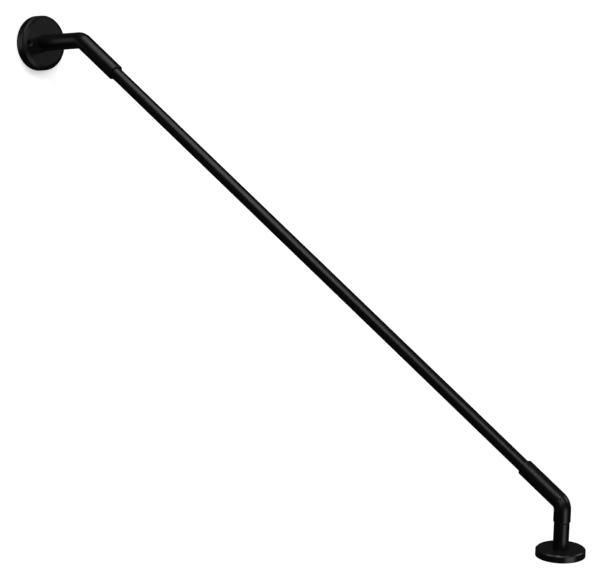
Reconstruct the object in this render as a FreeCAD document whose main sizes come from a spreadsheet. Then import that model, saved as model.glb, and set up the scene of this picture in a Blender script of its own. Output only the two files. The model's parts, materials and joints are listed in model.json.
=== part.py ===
import FreeCAD, Part
import math
import os
import Sketcher

# A tie-rod bracket that hangs a door canopy from the wall.
# The origin is the centre of the wall rosette's back face: X runs out from the wall, Z runs up,
# and the whole bracket lies in the plane Y = 0.

# Driving dimensions, in millimetres and degrees
SIZES = {
    "rosette_diameter": 69,
    "rosette_rim": 11.5,
    "rosette_bevel_rise": 2.1,
    "rosette_bevel_width": 5.4,
    "rosette_edge_chamfer": 0.9,
    "rosette_seat_depth": 3,
    "wall_screw_inset": 10.25,
    "wall_screw_turn": 9,
    "wall_screw_hole": 5,
    "wall_screw_countersink": 9,
    "centre_screw_diameter": 8,
    "centre_screw_head": 15.5,
    "centre_screw_length": 25,
    "centre_screw_sink": 0.4,
    "centre_screw_key": 5,
    "centre_screw_key_depth": 3.2,
    "wall_reach": 86,
    "elbow_diameter": 20.7,
    "upper_bend_radius": 16.5,
    "lower_bend_radius": 11,
    "upper_sleeve": 71,
    "lower_sleeve": 71,
    "lower_leg": 22.5,
    "sleeve_chamfer": 1,
    "rod_fall": 38,
    "rod_diameter": 16,
    "rod_wall": 2,
    "rod_length": 850,
    "rod_end_chamfer": 0.6,
    "socket_depth": 21,
    "canopy_slope": 15,
    "pin_diameter": 18.8,
    "pin_length": 32.5,
    "pin_chamfer": 0.5,
    "pin_stud_diameter": 12,
    "pin_stud_length": 13,
    "pin_spigot_diameter": 12,
    "canopy_thread_bore": 6.8,
    "canopy_thread_depth": 22,
    "flange_diameter": 59.5,
    "flange_thickness": 9,
    "flange_edge_chamfer": 1.5,
    "set_screw_diameter": 5,
    "set_screw_point": 3.4,
    "set_screw_sink": 0.25,
    "set_screw_key": 2.5,
    "set_screw_key_depth": 1.2,
    "fit_clearance": 0.1,
    "thread_clearance": 0.05,
    "drill_room": 1.5,
}

DRILL_POINT_ANGLE = 118
COUNTERSINK_ANGLE = 90
HEXAGON_SIDES = 6

doc = FreeCAD.newDocument("canopy_bracket")
sheet = doc.addObject("Spreadsheet::Sheet", "Sizes")
for row, (alias, number) in enumerate(SIZES.items(), start=1):
    sheet.set(f"A{row}", alias.replace("_", " "))
    sheet.set(f"B{row}", str(number))
    sheet.setAlias(f"B{row}", alias)
doc.recompute()


def size(alias):
    """The expression that reads one driving dimension."""
    return f"Sizes.{alias}"


def half(alias):
    return f"(Sizes.{alias} / 2)"


def value(expression):
    """The present number of an expression."""
    return float(sheet.evalExpression(expression))


# Sizes that follow from the driving ones
ROSETTE_THICKNESS = f"({size('rosette_rim')} + {size('rosette_bevel_rise')})"
SEAT_FLOOR = f"({ROSETTE_THICKNESS} - {size('rosette_seat_depth')})"
STUB_LENGTH = f"({size('wall_reach')} - {SEAT_FLOOR})"
ROD_IN_VIEW = f"({size('rod_length')} - 2 * {size('socket_depth')})"
CORNER_SPAN = f"({size('upper_sleeve')} + {ROD_IN_VIEW} + {size('lower_sleeve')})"
LOWER_CORNER_X = f"({size('wall_reach')} + {CORNER_SPAN} * cos({size('rod_fall')}))"
LOWER_CORNER_Z = f"(-{CORNER_SPAN} * sin({size('rod_fall')}))"
LOWER_LEAN = f"({size('rod_fall')} - {size('canopy_slope')})"
SOCKET_RADIUS = f"({half('rod_diameter')} + {size('fit_clearance')})"
ROD_INNER_RADIUS = f"({half('rod_diameter')} - {size('rod_wall')})"


def origin_feature(body, role):
    return next(item for item in body.Origin.OriginFeatures if item.Role == role)


def new_body(label):
    body = doc.addObject("PartDesign::Body", label)
    body.Label = label
    return body


def set_place(body, x="0", z="0", turn="0"):
    """Puts a body in the plane Y = 0, turned about Y, with its place tied to the sizes."""
    body.Placement = FreeCAD.Placement(
        FreeCAD.Vector(value(x), 0, value(z)),
        FreeCAD.Rotation(FreeCAD.Vector(0, 1, 0), value(turn)),
    )
    body.setExpression("Placement.Base.x", x)
    body.setExpression("Placement.Base.z", z)
    body.setExpression("Placement.Rotation.Angle", turn)


def new_sketch(body, name, plane, offset=None):
    """A sketch on one of the body's own planes, moved along its normal by offset."""
    sketch = body.newObject("Sketcher::SketchObject", name)
    sketch.AttachmentSupport = [(origin_feature(body, f"{plane}_Plane"), "")]
    sketch.MapMode = "FlatFace"
    if offset is not None:
        sketch.setExpression("AttachmentOffset.Base.z", offset)
    return sketch


def fix_point(sketch, edge, end, place):
    """Ties one end of a sketch edge to a pair of expressions."""
    for kind, expression in zip(("DistanceX", "DistanceY"), place):
        number = value(expression)
        index = sketch.addConstraint(Sketcher.Constraint(kind, -1, 1, edge, end, number))
        sketch.setExpression(f"Constraints[{index}]", expression)


def sketch_point(place):
    return FreeCAD.Vector(value(place[0]), value(place[1]), 0)


def draw_outline(sketch, corners):
    """A closed outline of straight edges, each corner tied to its own pair of expressions."""
    points = [sketch_point(corner) for corner in corners]
    first = sketch.GeometryCount
    count = len(points)
    for index in range(count):
        sketch.addGeometry(Part.LineSegment(points[index], points[(index + 1) % count]), False)
    for index, corner in enumerate(corners):
        before = first + (index - 1) % count
        sketch.addConstraint(Sketcher.Constraint("Coincident", before, 2, first + index, 1))
        fix_point(sketch, first + index, 1, corner)


def draw_axis(sketch, start, end):
    """A construction line that a revolved cut turns about."""
    line = sketch.addGeometry(Part.LineSegment(sketch_point(start), sketch_point(end)), True)
    fix_point(sketch, line, 1, start)
    fix_point(sketch, line, 2, end)


def draw_circle(sketch, centre, radius):
    ring = Part.Circle(sketch_point(centre), FreeCAD.Vector(0, 0, 1), value(radius))
    index = sketch.addGeometry(ring, False)
    fix_point(sketch, index, 3, centre)
    rule = sketch.addConstraint(Sketcher.Constraint("Radius", index, value(radius)))
    sketch.setExpression(f"Constraints[{rule}]", radius)


def draw_hexagon(sketch, across_flats):
    """A regular hexagon about the sketch's origin."""
    reach = f"({across_flats} / 2 / cos({180 / HEXAGON_SIDES}))"
    turns = [360 / HEXAGON_SIDES * side for side in range(HEXAGON_SIDES)]
    draw_outline(sketch, [(f"{reach} * cos({turn})", f"{reach} * sin({turn})") for turn in turns])


def revolve(body, name, plane, axis, corners):
    """A turned solid: an outline in a plane of the body, revolved about one of its axes."""
    sketch = new_sketch(body, f"{name}_outline", plane)
    draw_outline(sketch, corners)
    turned = body.newObject("PartDesign::Revolution", name)
    turned.Profile = sketch
    turned.ReferenceAxis = (origin_feature(body, f"{axis}_Axis"), [""])
    turned.Angle = 360
    doc.recompute()
    return turned


def check_cut(body, feature, volume_before):
    doc.recompute()
    if not body.Shape.Volume < volume_before - 1e-6:
        raise RuntimeError(f"{feature.Label} removes nothing")


def bore(body, name, corners, axis_line):
    """A turned hollow whose outline and axis both lie in the body's XZ plane."""
    sketch = new_sketch(body, f"{name}_outline", "XZ")
    draw_outline(sketch, corners)
    draw_axis(sketch, *axis_line)
    volume = body.Shape.Volume
    cut = body.newObject("PartDesign::Groove", name)
    cut.Profile = sketch
    cut.ReferenceAxis = (sketch, ["Axis0"])
    cut.Angle = 360
    check_cut(body, cut, volume)


def pocket(body, name, sketch, depth, reverse=False):
    volume = body.Shape.Volume
    cut = body.newObject("PartDesign::Pocket", name)
    cut.Profile = sketch
    cut.Reversed = reverse
    cut.setExpression("Length", depth)
    check_cut(body, cut, volume)


def circle_edges(body, centre, radius):
    """Names of the whole round edges of a body with this centre and radius, in its own frame."""
    shape = body.Tip.Shape
    names = []
    for number, edge in enumerate(shape.Edges, start=1):
        if not isinstance(edge.Curve, Part.Circle):
            continue
        near = edge.Curve.Center.distanceToPoint(centre) < 1e-4
        if near and abs(edge.Curve.Radius - radius) < 1e-4:
            names.append(f"Edge{number}")
    if not names:
        raise RuntimeError(f"{body.Label} has no round edge of radius {radius}")
    return names


def chamfer(body, name, centre, radius, amount):
    """A chamfer on the round edge with this centre and radius."""
    base = body.Tip
    edges = circle_edges(body, centre, radius)
    feature = body.newObject("PartDesign::Chamfer", name)
    feature.Base = (base, edges)
    feature.setExpression("Size", amount)
    doc.recompute()


def along(turn, distance, aside="0"):
    """A point of an XZ sketch, by its distance along a line that falls by turn and its offset."""
    across = f"({distance}) * cos({turn}) + ({aside}) * sin({turn})"
    up = f"({aside}) * cos({turn}) - ({distance}) * sin({turn})"
    return across, up


def blind_bore(turn, mouth, floor, radius, point="0"):
    """Corners and axis of a blind hole on a line that falls by turn, with a flat or pointed floor."""
    end = f"({floor} + {point})"
    corners = [
        along(turn, mouth),
        along(turn, mouth, radius),
        along(turn, floor, radius),
        along(turn, end),
    ]
    return corners, (along(turn, mouth), along(turn, end))


def drill_point(radius):
    """How far the point of a drill reaches past the full width of its hole."""
    return f"({radius} / tan({DRILL_POINT_ANGLE / 2}))"


def bent_bar(body, name, start, first_turn, bend, radius, second_turn, end, plane, offset):
    """A round bar swept along a straight, a tangent arc about the origin's corner and a straight.

    start and end are distances from the corner, along lines that fall by first_turn and second_turn.
    """
    tangent = f"({radius} * tan({bend} / 2))"
    path = new_sketch(body, f"{name}_path", "XZ")
    straight_start = along(first_turn, f"-({start})")
    arc_start = along(first_turn, f"-{tangent}")
    arc_end = along(second_turn, tangent)
    straight_end = along(second_turn, end)
    centre = along(first_turn, f"-{tangent}", f"-{radius}")
    circle = Part.Circle(sketch_point(centre), FreeCAD.Vector(0, 0, 1), value(radius))
    angles = [math.radians(90 - value(turn)) for turn in (second_turn, first_turn)]
    path.addGeometry(Part.LineSegment(sketch_point(straight_start), sketch_point(arc_start)), False)
    path.addGeometry(Part.ArcOfCircle(circle, *angles), False)
    path.addGeometry(Part.LineSegment(sketch_point(arc_end), sketch_point(straight_end)), False)
    fix_point(path, 0, 1, straight_start)
    fix_point(path, 0, 2, arc_start)
    fix_point(path, 2, 1, arc_end)
    fix_point(path, 2, 2, straight_end)
    path.addConstraint(Sketcher.Constraint("Tangent", 0, 2, 1, 2))
    path.addConstraint(Sketcher.Constraint("Coincident", 2, 1, 1, 1))
    section = new_sketch(body, f"{name}_section", plane, offset)
    draw_circle(section, ("0", "0"), half("elbow_diameter"))
    sweep = body.newObject("PartDesign::AdditivePipe", name)
    sweep.Profile = section
    sweep.Spine = (path, ["Edge1", "Edge2", "Edge3"])
    doc.recompute()


def point_in_body(place):
    spot = sketch_point(place)
    return FreeCAD.Vector(spot.x, 0, spot.y)


# Wall rosette: a turned disc with a bevelled front, a seat for the stub and two wall screw holes
def wall_rosette():
    body = new_body("wall_rosette")
    rim = half("rosette_diameter")
    face = f"({rim} - {size('rosette_bevel_width')})"
    seat = f"({half('elbow_diameter')} + {size('fit_clearance')})"
    hole = f"({half('centre_screw_diameter')} + {size('fit_clearance')})"
    mouth = f"({half('centre_screw_head')} + {size('centre_screw_sink')})"
    cone_end = f"({mouth} - {hole})"
    revolve(body, "rosette_disc", "XZ", "X", [
        ("0", mouth),
        ("0", rim),
        (size("rosette_rim"), rim),
        (ROSETTE_THICKNESS, face),
        (ROSETTE_THICKNESS, seat),
        (SEAT_FLOOR, seat),
        (SEAT_FLOOR, hole),
        (cone_end, hole),
    ])
    front = FreeCAD.Vector(value(size("rosette_rim")), 0, 0)
    chamfer(body, "rim_edge", front, value(rim), size("rosette_edge_chamfer"))
    spots = new_sketch(body, "wall_screw_places", "YZ", ROSETTE_THICKNESS)
    reach = f"({rim} - {size('wall_screw_inset')})"
    turn = size("wall_screw_turn")
    for across, up in (("-", ""), ("", "-")):
        spot = (f"{across}{reach} * cos({turn})", f"{up}{reach} * sin({turn})")
        draw_circle(spots, spot, half("wall_screw_hole"))
    doc.recompute()
    volume = body.Shape.Volume
    holes = body.newObject("PartDesign::Hole", "wall_screw_holes")
    holes.Profile = spots
    holes.ThreadType = "None"
    holes.DepthType = "ThroughAll"
    holes.HoleCutType = "Countersink"
    holes.HoleCutCustomValues = True
    holes.HoleCutCountersinkAngle = COUNTERSINK_ANGLE
    holes.setExpression("Diameter", size("wall_screw_hole"))
    holes.setExpression("HoleCutDiameter", size("wall_screw_countersink"))
    check_cut(body, holes, volume)
    return body


# Centre screw: a countersunk screw with a hexagon socket, driven from the back into the stub
def centre_screw():
    body = new_body("centre_screw")
    shank = half("centre_screw_diameter")
    head = half("centre_screw_head")
    sink = size("centre_screw_sink")
    tip = f"({size('centre_screw_length')} + {sink})"
    revolve(body, "screw_blank", "XZ", "X", [
        (sink, "0"),
        (sink, head),
        (f"({sink} + {head} - {shank})", shank),
        (tip, shank),
        (tip, "0"),
    ])
    end = FreeCAD.Vector(value(tip), 0, 0)
    chamfer(body, "screw_tip", end, value(shank), f"{shank} / 5")
    socket = new_sketch(body, "screw_key", "YZ", sink)
    draw_hexagon(socket, size("centre_screw_key"))
    pocket(body, "screw_socket", socket, size("centre_screw_key_depth"), reverse=True)
    return body


def set_screw_hole(body, name, spot):
    """A cross hole from the rod socket out through the sleeve's far side."""
    sketch = new_sketch(body, f"{name}_place", "XZ")
    radius = f"({half('set_screw_diameter')} + {size('thread_clearance')})"
    draw_circle(sketch, spot, radius)
    pocket(body, name, sketch, size("elbow_diameter"))


# Wall elbow: a bent bar from the rosette to the rod, tapped at the wall and bored for the rod
def wall_elbow():
    body = new_body("wall_elbow")
    set_place(body, x=size("wall_reach"))
    fall = size("rod_fall")
    bent_bar(body, "wall_bend", STUB_LENGTH, "0", fall, size("upper_bend_radius"), fall,
             size("upper_sleeve"), "YZ", f"-{STUB_LENGTH}")
    end = point_in_body(along(fall, size("upper_sleeve")))
    outer = value(half("elbow_diameter"))
    chamfer(body, "sleeve_end", end, outer, size("sleeve_chamfer"))
    floor = f"({size('upper_sleeve')} - {size('socket_depth')})"
    bore(body, "rod_socket", *blind_bore(fall, size("upper_sleeve"), floor, SOCKET_RADIUS))
    thread = f"({half('centre_screw_diameter')} + {size('thread_clearance')})"
    screw_end = f"({size('centre_screw_length')} + {size('centre_screw_sink')})"
    depth = f"({screw_end} + {size('drill_room')} - {size('wall_reach')})"
    bore(body, "stub_thread",
         *blind_bore("0", f"(-{STUB_LENGTH})", depth, thread, drill_point(thread)))
    middle = f"({size('upper_sleeve')} - {half('socket_depth')})"
    set_screw_hole(body, "set_screw_hole", along(fall, middle))
    return body


# Tie rod: a round tube, drilled at both ends for the points of the set screws
def tie_rod():
    body = new_body("tie_rod")
    fall = size("rod_fall")
    start = f"({size('upper_sleeve')} - {size('socket_depth')})"
    set_place(body, f"{size('wall_reach')} + {start} * cos({fall})", f"-{start} * sin({fall})", fall)
    outer = half("rod_diameter")
    inner = ROD_INNER_RADIUS
    length = size("rod_length")
    nip = size("rod_end_chamfer")
    revolve(body, "rod_tube", "XZ", "X", [
        ("0", inner),
        ("0", f"({outer} - {nip})"),
        (nip, outer),
        (f"({length} - {nip})", outer),
        (length, f"({outer} - {nip})"),
        (length, inner),
    ])
    spots = new_sketch(body, "point_places", "XZ")
    point = f"({half('set_screw_point')} + {size('fit_clearance')})"
    for place in (half("socket_depth"), f"({length} - {half('socket_depth')})"):
        draw_circle(spots, (place, "0"), point)
    pocket(body, "point_holes", spots, size("rod_diameter"))
    return body


# Lower elbow: a bent bar from the rod down to the pin, bored for the rod and tapped for the pin
def lower_elbow():
    body = new_body("lower_elbow")
    set_place(body, LOWER_CORNER_X, LOWER_CORNER_Z, size("canopy_slope"))
    bend = f"(90 - {LOWER_LEAN})"
    bent_bar(body, "lower_bend", size("lower_sleeve"), LOWER_LEAN, bend, size("lower_bend_radius"), "90",
             size("lower_leg"), "XY", f"-{size('lower_leg')}")
    outer = value(half("elbow_diameter"))
    sleeve = f"(-{size('lower_sleeve')})"
    sleeve_end = point_in_body(along(LOWER_LEAN, sleeve))
    leg_end = FreeCAD.Vector(0, 0, -value(size("lower_leg")))
    chamfer(body, "sleeve_end", sleeve_end, outer, size("sleeve_chamfer"))
    chamfer(body, "leg_end", leg_end, outer, size("sleeve_chamfer"))
    floor = f"({sleeve} + {size('socket_depth')})"
    bore(body, "rod_socket", *blind_bore(LOWER_LEAN, sleeve, floor, SOCKET_RADIUS))
    thread = f"({half('pin_stud_diameter')} + {size('thread_clearance')})"
    depth = f"({size('lower_leg')} - {size('pin_stud_length')} - {size('drill_room')})"
    bore(body, "stud_thread",
         *blind_bore("90", size("lower_leg"), depth, thread, f"-{drill_point(thread)}"))
    middle = f"({sleeve} + {half('socket_depth')})"
    set_screw_hole(body, "set_screw_hole", along(LOWER_LEAN, middle))
    return body


# Canopy pin: a turned pin with a threaded stud above, a spigot below and a tapped hole in its foot
def canopy_pin():
    body = new_body("canopy_pin")
    slope = size("canopy_slope")
    drop = f"({size('lower_leg')} + {size('pin_length')})"
    set_place(body, f"{LOWER_CORNER_X} - {drop} * sin({slope})",
              f"{LOWER_CORNER_Z} - {drop} * cos({slope})", slope)
    outer = half("pin_diameter")
    stud = half("pin_stud_diameter")
    spigot = half("pin_spigot_diameter")
    length = size("pin_length")
    nip = size("pin_chamfer")
    top = f"({length} + {size('pin_stud_length')})"
    foot = f"(-{size('flange_thickness')})"
    revolve(body, "pin_blank", "XZ", "Z", [
        ("0", foot),
        (spigot, foot),
        (spigot, "0"),
        (outer, "0"),
        (outer, f"({length} - {nip})"),
        (f"({outer} - {nip})", length),
        (stud, length),
        (stud, f"({top} - 2 * {nip})"),
        (f"({stud} - 2 * {nip})", top),
        ("0", top),
    ])
    floor = f"({size('flange_thickness')} - {size('canopy_thread_depth')})"
    thread = half("canopy_thread_bore")
    bore(body, "canopy_thread",
         *blind_bore("90", size("flange_thickness"), floor, thread, f"-{drill_point(thread)}"))
    return body


# Canopy flange: a turned disc with a chamfered upper edge, held on the pin's spigot
def canopy_flange():
    body = new_body("canopy_flange")
    slope = size("canopy_slope")
    drop = f"({size('lower_leg')} + {size('pin_length')} + {size('flange_thickness')})"
    set_place(body, f"{LOWER_CORNER_X} - {drop} * sin({slope})",
              f"{LOWER_CORNER_Z} - {drop} * cos({slope})", slope)
    rim = half("flange_diameter")
    inner = f"({half('pin_spigot_diameter')} + {size('fit_clearance')})"
    top = size("flange_thickness")
    revolve(body, "flange_disc", "XZ", "Z", [
        (inner, "0"),
        (rim, "0"),
        (rim, top),
        (inner, top),
    ])
    upper = FreeCAD.Vector(0, 0, value(top))
    chamfer(body, "upper_edge", upper, value(rim), size("flange_edge_chamfer"))
    return body


# Set screws: one in each sleeve, with a plain point that enters the rod and locks it
def set_screws():
    body = new_body("set_screws")
    body.AllowCompound = True
    fall = size("rod_fall")
    start = f"({size('upper_sleeve')} - {half('socket_depth')})"
    set_place(body, f"{size('wall_reach')} + {start} * cos({fall})", f"-{start} * sin({fall})", fall)
    thread = half("set_screw_diameter")
    point = half("set_screw_point")
    outer = f"({half('elbow_diameter')} - {size('set_screw_sink')})"
    shoulder = half("rod_diameter")
    tip = ROD_INNER_RADIUS
    revolve(body, "set_screw", "XY", "Y", [
        ("0", tip),
        (point, tip),
        (point, shoulder),
        (thread, shoulder),
        (thread, outer),
        ("0", outer),
    ])
    socket = new_sketch(body, "set_screw_key", "XZ", f"-{outer}")
    draw_hexagon(socket, size("set_screw_key"))
    pocket(body, "set_screw_socket", socket, size("set_screw_key_depth"), reverse=True)
    pair = body.newObject("PartDesign::LinearPattern", "set_screw_pair")
    pair.Originals = [body.getObject("set_screw"), body.getObject("set_screw_socket")]
    pair.Direction = (origin_feature(body, "X_Axis"), [""])
    pair.setExpression("Length", f"{size('rod_length')} - {size('socket_depth')}")
    pair.Occurrences = 2
    body.Tip = pair
    doc.recompute()
    return body


pieces = [
    wall_rosette(),
    centre_screw(),
    wall_elbow(),
    tie_rod(),
    lower_elbow(),
    canopy_pin(),
    canopy_flange(),
    set_screws(),
]
doc.recompute()

for item in doc.Objects:
    if "Invalid" in item.State or "Error" in item.State:
        raise RuntimeError(f"{item.Label} failed: {item.State}")
for piece in pieces:
    if piece.Shape.isNull() or not piece.Shape.isValid():
        raise RuntimeError(f"{piece.Label} has no valid solid")

os.makedirs("parts", exist_ok=True)
for piece in pieces:
    piece.Shape.exportStep(f"parts/{piece.Label}.step")
    print(piece.Label, len(piece.Shape.Solids), round(piece.Shape.Volume, 1))
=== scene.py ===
import json
import math

import bpy
from mathutils import Matrix, Vector

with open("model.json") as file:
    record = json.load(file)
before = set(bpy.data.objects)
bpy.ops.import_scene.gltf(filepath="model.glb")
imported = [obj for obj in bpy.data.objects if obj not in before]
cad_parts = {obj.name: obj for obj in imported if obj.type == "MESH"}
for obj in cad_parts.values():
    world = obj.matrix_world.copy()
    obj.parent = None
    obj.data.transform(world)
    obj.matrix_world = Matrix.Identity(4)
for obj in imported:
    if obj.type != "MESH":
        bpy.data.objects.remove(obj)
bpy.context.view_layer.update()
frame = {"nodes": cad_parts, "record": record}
MILLIMETRE = 0.001


class Wire:
    """One socket of a node tree; sums written with it add their own Math nodes."""

    def __init__(self, tree, socket=None):
        self.tree = tree
        self.socket = socket

    def node(self, kind, settings=None, sockets=None, output=0):
        """Any node: its settings go in first, then the values or links of its sockets."""
        made = self.tree.nodes.new(kind)
        for name, value in (settings or {}).items():
            setattr(made, name, value)
        for name, value in (sockets or {}).items():
            if isinstance(value, Wire):
                self.tree.links.new(value.socket, made.inputs[name])
            else:
                made.inputs[name].default_value = value
        return Wire(self.tree, made.outputs[output] if made.outputs else None)

    def maths(self, operation, first, second):
        """One Math node on two values or wires."""
        return self.node("ShaderNodeMath", {"operation": operation}, {0: first, 1: second})

    def __add__(self, other):
        return self.maths("ADD", self, other)

    def __radd__(self, other):
        return self.maths("ADD", other, self)

    def __sub__(self, other):
        return self.maths("SUBTRACT", self, other)

    def __rsub__(self, other):
        return self.maths("SUBTRACT", other, self)

    def __mul__(self, other):
        return self.maths("MULTIPLY", self, other)

    def __rmul__(self, other):
        return self.maths("MULTIPLY", other, self)


def new_finish(name):
    """A blank material, and the wire from which its nodes are added."""
    material = bpy.data.materials.new(name)
    material.use_nodes = True
    material.node_tree.nodes.clear()
    return material, Wire(material.node_tree)


def new_object(name, data):
    """An object in the scene that holds a mesh, a lamp or a lens."""
    made = bpy.data.objects.new(name, data)
    bpy.context.scene.collection.objects.link(made)
    return made


def grain(blank, place, millimetres, detail=2.0, roughness=0.5):
    """Soft noise whose lumps are about this many millimetres across."""
    return blank.node("ShaderNodeTexNoise", None, {
        "Vector": place,
        "Scale": 1 / (millimetres * MILLIMETRE),
        "Detail": detail,
        "Roughness": roughness,
    })


def between(blank, share, low, high):
    """A colour that goes from low to high with share."""
    return blank.node("ShaderNodeMix", {"data_type": "RGBA"}, {
        "Factor": share,
        "A": (*low, 1),
        "B": (*high, 1),
    }, output=2)


def clamped(blank, value):
    """The value, kept from nought to one."""
    return blank.node("ShaderNodeClamp", None, {"Value": value})


def distance(blank, place, spot):
    """How far a place on the surface is from a fixed spot, in metres."""
    return blank.node("ShaderNodeVectorMath", {"operation": "DISTANCE"}, {0: place, 1: spot}, output=1)


def fading(blank, away, full, end):
    """One as far away as full, and from there smoothly down to nought at end."""
    return blank.node("ShaderNodeMapRange", {"interpolation_type": "SMOOTHSTEP"}, {
        "Value": away,
        "From Min": full,
        "From Max": end,
        "To Min": 1.0,
        "To Max": 0.0,
    })


EDGE_SAMPLES = 6
EDGE_GAIN = 4


def edge_share(blank, millimetres):
    """A rounded normal, and how far it leans: nought on plain surfaces and more on a sharp edge."""
    rounded = blank.node("ShaderNodeBevel", {"samples": EDGE_SAMPLES}, {"Radius": millimetres * MILLIMETRE})
    true = blank.node("ShaderNodeNewGeometry", output="Normal")
    same = blank.node("ShaderNodeVectorMath", {"operation": "DOT_PRODUCT"}, {0: rounded, 1: true}, output=1)
    return rounded, (1 - same) * EDGE_GAIN


# The rosette's two screw holes: a pair on the record's circle, turned off level with the rosette
HOLE_TURN = math.radians(9)
HOLE_INNER = 4.1 * MILLIMETRE
HOLE_OUTER = 4.7 * MILLIMETRE
ACROSS_ROSETTE = (0, 1, 1)
wall_screws = next(mount for mount in frame["record"]["mounts"] if mount["name"] == "wall_screws")
hole_reach = wall_screws["dims"]["pcd_mm"] / 2 * MILLIMETRE
near_hole = Vector((0, -math.cos(HOLE_TURN), math.sin(HOLE_TURN))) * hole_reach


def in_screw_holes(blank, place):
    """One in the rosette's two screw holes, where the powder settles thin and dull, and nought outside."""
    flat = blank.node("ShaderNodeVectorMath", {"operation": "MULTIPLY"}, {0: place, 1: ACROSS_ROSETTE})
    to_first = distance(blank, flat, near_hole)
    to_second = distance(blank, flat, -near_hole)
    return fading(blank, blank.maths("MINIMUM", to_first, to_second), HOLE_INNER, HOLE_OUTER)


# Powder coat, with sizes in millimetres
NOISE_MIDDLE = 0.5
PEEL_SIZE = 0.9
PEEL_DEPTH = 0.03
PEEL_STRENGTH = 0.35
PEEL_SHARE = 0.75
PINHOLE_SIZE = 0.22
PINHOLE_SHEEN = 0.06
CLOUD_SIZE = 14
CLOUD_SHEEN = 0.10
COAT_EDGE = 0.5
HOLE_DULLNESS = 0.35
COAT_IOR = 1.33
# The one coat's black is set part by part as painted shade and light: darker on the disc and elbow, lighter
# on the flange, with the tubes and pin between
DISC_BLACK_PAINTED_SHADE = (0.003, 0.003, 0.0031)
ELBOW_BLACK_PAINTED_SHADE = (0.0035, 0.0035, 0.0036)
TUBE_BLACK = (0.004, 0.004, 0.0042)
FLANGE_BLACK_PAINTED_LIGHT = (0.006, 0.006, 0.0062)
WORN_BLACK = (0.014, 0.014, 0.014)


def satin_black(name, base, roughness, dull=None):
    """Satin black powder coat: fine orange peel, a cloudy sheen and thinner colour on the edges."""
    material, blank = new_finish(name)
    place = blank.node("ShaderNodeTexCoord", output="Object")
    peel = grain(blank, place, PEEL_SIZE)
    pinholes = grain(blank, place, PINHOLE_SIZE, detail=3.0)
    clouds = grain(blank, place, CLOUD_SIZE, detail=3.0, roughness=0.6)
    rounded, edge = edge_share(blank, COAT_EDGE)
    normal = blank.node("ShaderNodeBump", None, {
        "Strength": PEEL_STRENGTH,
        "Distance": PEEL_DEPTH * MILLIMETRE,
        "Height": peel * PEEL_SHARE + pinholes * (1 - PEEL_SHARE),
        "Normal": rounded,
    })
    thin = clamped(blank, edge * (NOISE_MIDDLE + clouds))
    cloudy = (clouds - NOISE_MIDDLE) * CLOUD_SHEEN
    gloss = roughness + cloudy + (pinholes - NOISE_MIDDLE) * PINHOLE_SHEEN
    if dull:
        gloss = gloss + dull(blank, place) * HOLE_DULLNESS
    shader = blank.node("ShaderNodeBsdfPrincipled", None, {
        "Base Color": between(blank, thin, base, WORN_BLACK),
        "Roughness": gloss,
        "Normal": normal,
        "IOR": COAT_IOR,
    })
    blank.node("ShaderNodeOutputMaterial", None, {"Surface": shader})
    return material


# Screw steel, with sizes in millimetres
MARK_SIZE = 0.35
MARK_DEPTH = 0.02
MARK_STRENGTH = 0.25
MARK_SHEEN = 0.15
PATCH_SIZE = 3.0
PATCH_SHARE = 0.4
STEEL_EDGE = 0.2
ZINC = (0.50, 0.50, 0.49)
RUBBED_ZINC = (0.70, 0.70, 0.69)
BLACKED = (0.035, 0.035, 0.037)
RUBBED_BLACKED = (0.16, 0.16, 0.16)


def screw_steel(name, base, bright, roughness):
    """Plated steel with fine turning marks and brighter edges."""
    material, blank = new_finish(name)
    place = blank.node("ShaderNodeTexCoord", output="Object")
    marks = grain(blank, place, MARK_SIZE, detail=4.0, roughness=0.7)
    patches = grain(blank, place, PATCH_SIZE)
    rounded, edge = edge_share(blank, STEEL_EDGE)
    normal = blank.node("ShaderNodeBump", None, {
        "Strength": MARK_STRENGTH,
        "Distance": MARK_DEPTH * MILLIMETRE,
        "Height": marks,
        "Normal": rounded,
    })
    rubbed = clamped(blank, edge + (patches - NOISE_MIDDLE) * PATCH_SHARE)
    shader = blank.node("ShaderNodeBsdfPrincipled", None, {
        "Base Color": between(blank, rubbed, base, bright),
        "Metallic": 1.0,
        "Roughness": roughness + (marks - NOISE_MIDDLE) * MARK_SHEEN,
        "Normal": normal,
    })
    blank.node("ShaderNodeOutputMaterial", None, {"Surface": shader})
    return material


# One finish for each slot of the record, and a smoother coat for the flange, whose lighter black is painted
# light
finishes = {
    "coated_disc": satin_black("satin_black_disc", DISC_BLACK_PAINTED_SHADE, roughness=0.31, dull=in_screw_holes),
    "coated_elbow": satin_black("satin_black_elbow", ELBOW_BLACK_PAINTED_SHADE, roughness=0.31),
    "coated_tube": satin_black("satin_black_tube", TUBE_BLACK, roughness=0.28),
    "coated_pin": satin_black("satin_black_pin", TUBE_BLACK, roughness=0.30),
    "plain_screw": screw_steel("zinc_plated_screw", ZINC, RUBBED_ZINC, roughness=0.34),
    "black_screw": screw_steel("blackened_screw", BLACKED, RUBBED_BLACKED, roughness=0.42),
}
smoother_painted_lighter = {"canopy_flange": satin_black("satin_black_flange", FLANGE_BLACK_PAINTED_LIGHT, roughness=0.27)}
for piece in frame["record"]["subparts"]:
    node = frame["nodes"][piece["node"]]
    node.data.materials.clear()
    node.data.materials.append(smoother_painted_lighter.get(piece["node"], finishes[piece["material_slot"]]))
    node.data.polygons.foreach_set("use_smooth", [True] * len(node.data.polygons))


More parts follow.
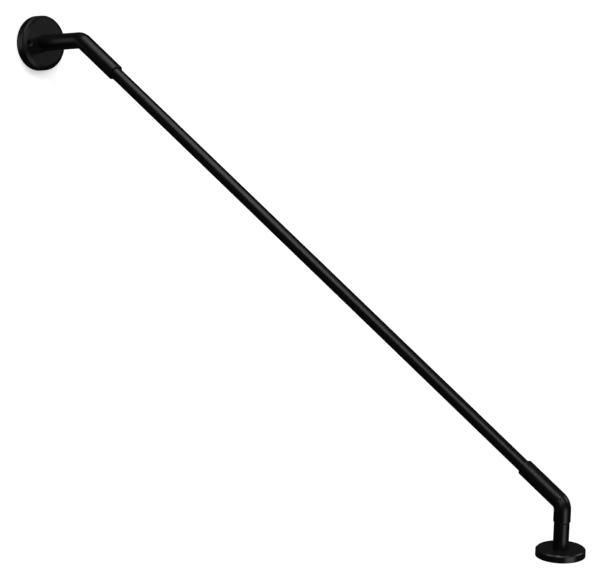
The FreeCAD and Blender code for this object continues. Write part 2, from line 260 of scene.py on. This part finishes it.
# Wall and floor: how white they are, how they shade and what reflections see of them
WHITE = (1, 1, 1, 1)
BRIGHT_PAINT = (0.8, 0.8, 0.8, 1)
DIM_PAINT = (0.03, 0.03, 0.03, 1)
SHEET_GLOW = 0.7
SHEET_MIRRORED = 0.015
SHADOW_LEAN = (0, 0.25, 1.0)
SHADOW_REACH = 0.014
SHADOW_SAMPLES = 8
SHADOW_DEPTH = 0.55
WALL_POOLS = 0.6
STUB_POOL = {"centre": (0, -0.07, 0.025), "full": 0.01, "end": 0.05}
RIM_POOL = {"centre": (0, -0.041, 0.009), "full": 0.006, "end": 0.018}


def backdrop_share(blank, mirrored):
    """How much of the white backdrop a ray sees: all of it from the camera, and a share in a reflection."""
    straight = blank.node("ShaderNodeLightPath", output="Is Camera Ray")
    glossy = blank.node("ShaderNodeLightPath", output="Is Glossy Ray")
    through = blank.node("ShaderNodeLightPath", output="Is Transmission Ray")
    return clamped(blank, straight + (glossy + through) * mirrored)


def pool_of_light(blank, centre, full, end):
    """One on the wall as far as full from the centre, fading to nought at end."""
    place = blank.node("ShaderNodeTexCoord", output="Object")
    return fading(blank, distance(blank, place, centre), full, end)


def soft_shadow(blank):
    """Less than one close under and beside a solid that keeps off light from above and from the right."""
    flat = blank.node("ShaderNodeNewGeometry", output="Normal")
    leaning = blank.node("ShaderNodeVectorMath", {"operation": "ADD"}, {0: flat, 1: SHADOW_LEAN})
    towards = blank.node("ShaderNodeVectorMath", {"operation": "NORMALIZE"}, {0: leaning})
    open_sky = blank.node("ShaderNodeAmbientOcclusion", {"samples": SHADOW_SAMPLES}, {
        "Normal": towards,
        "Distance": SHADOW_REACH,
    }, output="AO")
    return (1 - SHADOW_DEPTH) + open_sky * SHADOW_DEPTH


def mixed(blank, share, first, second):
    """Two shaders, with a share of the second."""
    return blank.node("ShaderNodeMixShader", None, {0: share, 1: first, 2: second})


def white_paint(name, pools):
    """White that shows only from its front; reflections see little of it apart from the pools of light."""
    material, blank = new_finish(name)
    dim = blank.node("ShaderNodeBsdfDiffuse", None, {"Color": DIM_PAINT})
    bright = blank.node("ShaderNodeBsdfDiffuse", None, {"Color": BRIGHT_PAINT})
    glow = blank.node("ShaderNodeEmission", None, {"Color": WHITE, "Strength": SHEET_GLOW})
    glowing = blank.node("ShaderNodeAddShader", None, {0: bright, 1: glow})
    lit = mixed(blank, soft_shadow(blank), bright, glowing)
    by_stub = pool_of_light(blank, **STUB_POOL)
    by_rim = pool_of_light(blank, **RIM_POOL)
    mirrored = blank.maths("MAXIMUM", by_stub, by_rim) * pools + SHEET_MIRRORED
    front = mixed(blank, backdrop_share(blank, mirrored), dim, lit)
    rear = blank.node("ShaderNodeNewGeometry", output="Backfacing")
    clear = blank.node("ShaderNodeBsdfTransparent")
    blank.node("ShaderNodeOutputMaterial", None, {"Surface": mixed(blank, rear, front, clear)})
    return material


def pale_sheet(name, corners, pools):
    """One flat white sheet behind or below the bracket."""
    mesh = bpy.data.meshes.new(name)
    mesh.from_pydata(corners, [], [(0, 1, 2, 3)])
    mesh.materials.append(white_paint(f"white_{name}", pools))
    sheet = new_object(name, mesh)


REACH = 6.0
FLOOR = -2.2
WALL_GAP = 0.0004
wall_corners = [(-REACH, FLOOR), (REACH, FLOOR), (REACH, REACH), (-REACH, REACH)]
pale_sheet("wall", [(-WALL_GAP, y, z) for y, z in wall_corners], pools=WALL_POOLS)
floor_corners = [(0, -REACH), (2 * REACH, -REACH), (2 * REACH, REACH), (0, REACH)]
pale_sheet("floor", [(x, y, FLOOR) for x, y in floor_corners], pools=0.0)


# Camera: a long lens, turned to the side of the bracket and a little above it
YAW = math.radians(41.2201)
PITCH = math.radians(5.9106)
ROLL = math.radians(-8.2687)
IMAGE_WIDTH = 600
FOCAL_PIXELS = 6793.21
SENSOR_WIDTH = 36
FARTHEST = 100
FITTED_STAND = Vector((6.598408, -5.405603, 0.528547))
STAND_SHIFT = 0.0007
back = Vector((math.cos(YAW) * math.cos(PITCH), -math.sin(YAW) * math.cos(PITCH), math.sin(PITCH)))
sideways = Vector((math.sin(YAW), math.cos(YAW), 0))
upright = back.cross(sideways)
right = sideways * math.cos(ROLL) + upright * math.sin(ROLL)
up = upright * math.cos(ROLL) - sideways * math.sin(ROLL)


def standing(place, across, along, outward):
    """The matrix of a thing at a place, with its own three directions."""
    return Matrix.Translation(place) @ Matrix((across, along, outward)).transposed().to_4x4()


lens = bpy.data.cameras.new("camera")
lens.sensor_width = SENSOR_WIDTH
lens.lens = FOCAL_PIXELS / IMAGE_WIDTH * SENSOR_WIDTH
lens.clip_end = FARTHEST
camera = new_object("camera", lens)
# The small shift lets the rod and the bracket's two ends sit equally well in the picture
camera.matrix_world = standing(FITTED_STAND - (right + up) * STAND_SHIFT, right, up, back)
bpy.context.scene.camera = camera


# Lamps: soft boxes that all face the middle of the rod
ROD_MIDDLE = Vector((0.44, 0, -0.33))
STRAIGHT_UP = Vector((0, 0, 1))
LAMP_DISTANCE = 2.6
LOW_DISTANCE = 2.2
OVERHEAD = Vector((-0.015, -0.315, 2.2))
OVERHEAD_ALONG = Vector((0.36, -0.93, 0))


def softbox(name, place, along, width, height, strength):
    """A flat soft lamp at place that faces the rod, with its width along one direction."""
    lamp = bpy.data.lights.new(name, "AREA")
    lamp.shape = "RECTANGLE"
    lamp.size = width
    lamp.size_y = height
    lamp.energy = strength * math.pi * width * height
    facing = (place - ROD_MIDDLE).normalized()
    side = (along - facing * facing.dot(along)).normalized()
    holder = new_object(name, lamp)
    holder.matrix_world = standing(place, side, facing.cross(side), facing)


def from_camera(turn, lift, away=LAMP_DISTANCE):
    """A place round the rod's middle, by degrees to the right of the camera and above level."""
    turn, lift = math.radians(turn), math.radians(lift)
    level_back = Vector((back.x, back.y, 0)).normalized()
    level = level_back * math.cos(turn) + sideways * math.sin(turn)
    return ROD_MIDDLE + (level * math.cos(lift) + STRAIGHT_UP * math.sin(lift)) * away


low_front = from_camera(turn=42, lift=-33, away=LOW_DISTANCE)
softbox("overhead", ROD_MIDDLE + OVERHEAD, OVERHEAD_ALONG, width=2.35, height=0.85, strength=3.3)
softbox("front_top", from_camera(turn=16, lift=57), sideways, width=0.7, height=0.7, strength=9.0)
softbox("front", from_camera(turn=29, lift=30), sideways, width=1.4, height=1.6, strength=2.0)
softbox("front_strip", from_camera(turn=-6, lift=14), sideways, width=0.35, height=1.2, strength=5.2)
softbox("low_front", low_front, sideways, width=1.1, height=1.2, strength=2.35)
softbox("side", from_camera(turn=92, lift=20), sideways, width=1.1, height=1.1, strength=2.8)

# Air round the studio: white to the camera, and dim as light and in reflections
DIM_AIR = 0.02
WHITE_AIR = 1.0
AIR_MIRRORED = 0.02
world = bpy.data.worlds.new("studio")
bpy.context.scene.world = world
world.use_nodes = True
world.node_tree.nodes.clear()
air = Wire(world.node_tree)
dim_air = air.node("ShaderNodeBackground", None, {"Color": WHITE, "Strength": DIM_AIR})
white_air = air.node("ShaderNodeBackground", None, {"Color": WHITE, "Strength": WHITE_AIR})
sky = mixed(air, backdrop_share(air, AIR_MIRRORED), dim_air, white_air)
air.node("ShaderNodeOutputWorld", None, {"Surface": sky})
bpy.context.scene.view_settings.view_transform = "Standard"
